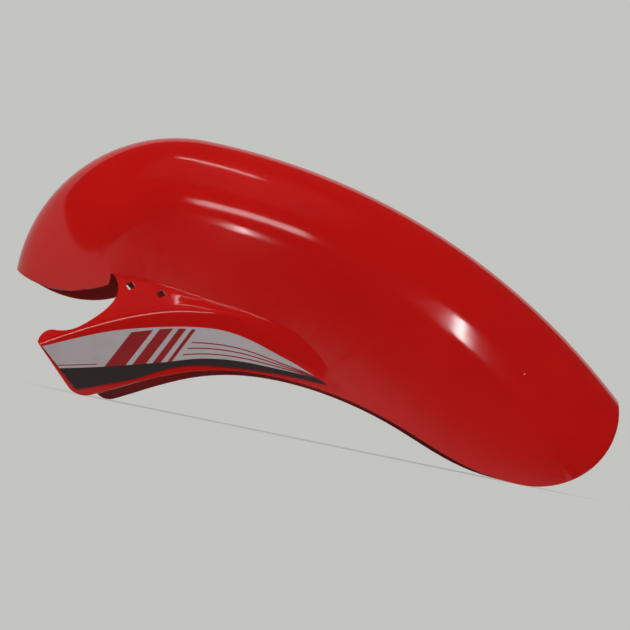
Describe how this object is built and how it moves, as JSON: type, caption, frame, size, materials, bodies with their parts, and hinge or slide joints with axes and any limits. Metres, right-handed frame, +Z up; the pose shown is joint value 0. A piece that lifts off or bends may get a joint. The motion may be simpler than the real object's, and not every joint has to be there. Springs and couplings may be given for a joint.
{
  "type": "motorcycle front mudguard",
  "caption": "Moulded plastic front mudguard for a small motorcycle: an arched shell over the wheel, with wings that flare round the fork legs, bracket holes and a striped vinyl film.",
  "frame": {"origin": "half way along the mudguard and on its plane of symmetry, on the plane that its nose rim and the rear lower corners of its wings rest on", "axes": "+X towards the front of the motorcycle, +Y towards the left side, +Z up"},
  "size_m": [0.6459, 0.2, 0.2899],
  "materials": {
    "red_plastic": "glossy moulded red plastic",
    "vinyl_film": "printed vinyl film, glossy"
  },
  "bodies": {
    "root": {"mudguard": "red_plastic", "decal_left": "vinyl_film", "decal_right": "vinyl_film"}
  },
  "joints": []
}
